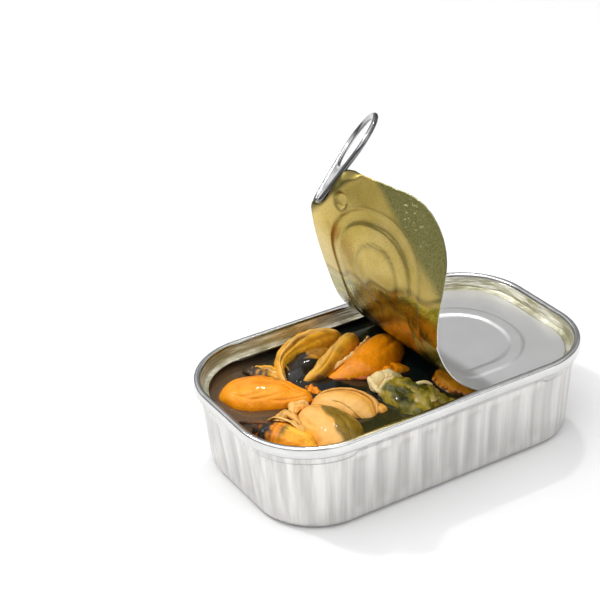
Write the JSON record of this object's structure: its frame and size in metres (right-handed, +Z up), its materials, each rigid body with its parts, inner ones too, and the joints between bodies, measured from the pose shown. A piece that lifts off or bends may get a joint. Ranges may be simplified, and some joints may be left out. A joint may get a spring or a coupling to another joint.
{
  "type": "open food tin",
  "caption": "Oblong metal tin of mussels in oil, its ring-pull lid torn from one end and bent up, with the ring on the raised corner.",
  "frame": {"origin": "middle of the tin's base, on the floor", "axes": "+X along the tin's length towards the end where the lid is still attached, +Y to the back, +Z up"},
  "size_m": [0.105, 0.0604, 0.0892],
  "materials": {
    "can": "brushed, fine vertical grain",
    "lid": "satin outside, gold lacquer inside",
    "pull": "bright rolled metal",
    "oil": "dark clear oil",
    "mussel_orange": "wet cooked mussel meat",
    "mussel_pale": "wet cooked mussel meat, pale",
    "mussel_olive": "wet cooked mussel meat, olive"
  },
  "bodies": {
    "root": {"tin_body": "can", "lid_ring": "lid", "lid_panel": "lid", "pull_tab": "pull", "tab_rivet": "pull", "oil": "oil", "mussel_plump": "mussel_orange", "mussel_bright": "mussel_orange", "mussel_open": "mussel_orange", "mussel_peach": "mussel_pale", "mussel_green": "mussel_pale", "mussel_striped": "mussel_orange", "mussel_olive": "mussel_olive", "mussel_slip": "mussel_pale", "mussel_under": "mussel_orange", "mussel_bit": "mussel_orange", "mussel_frill": "mussel_orange"}
  },
  "joints": []
}
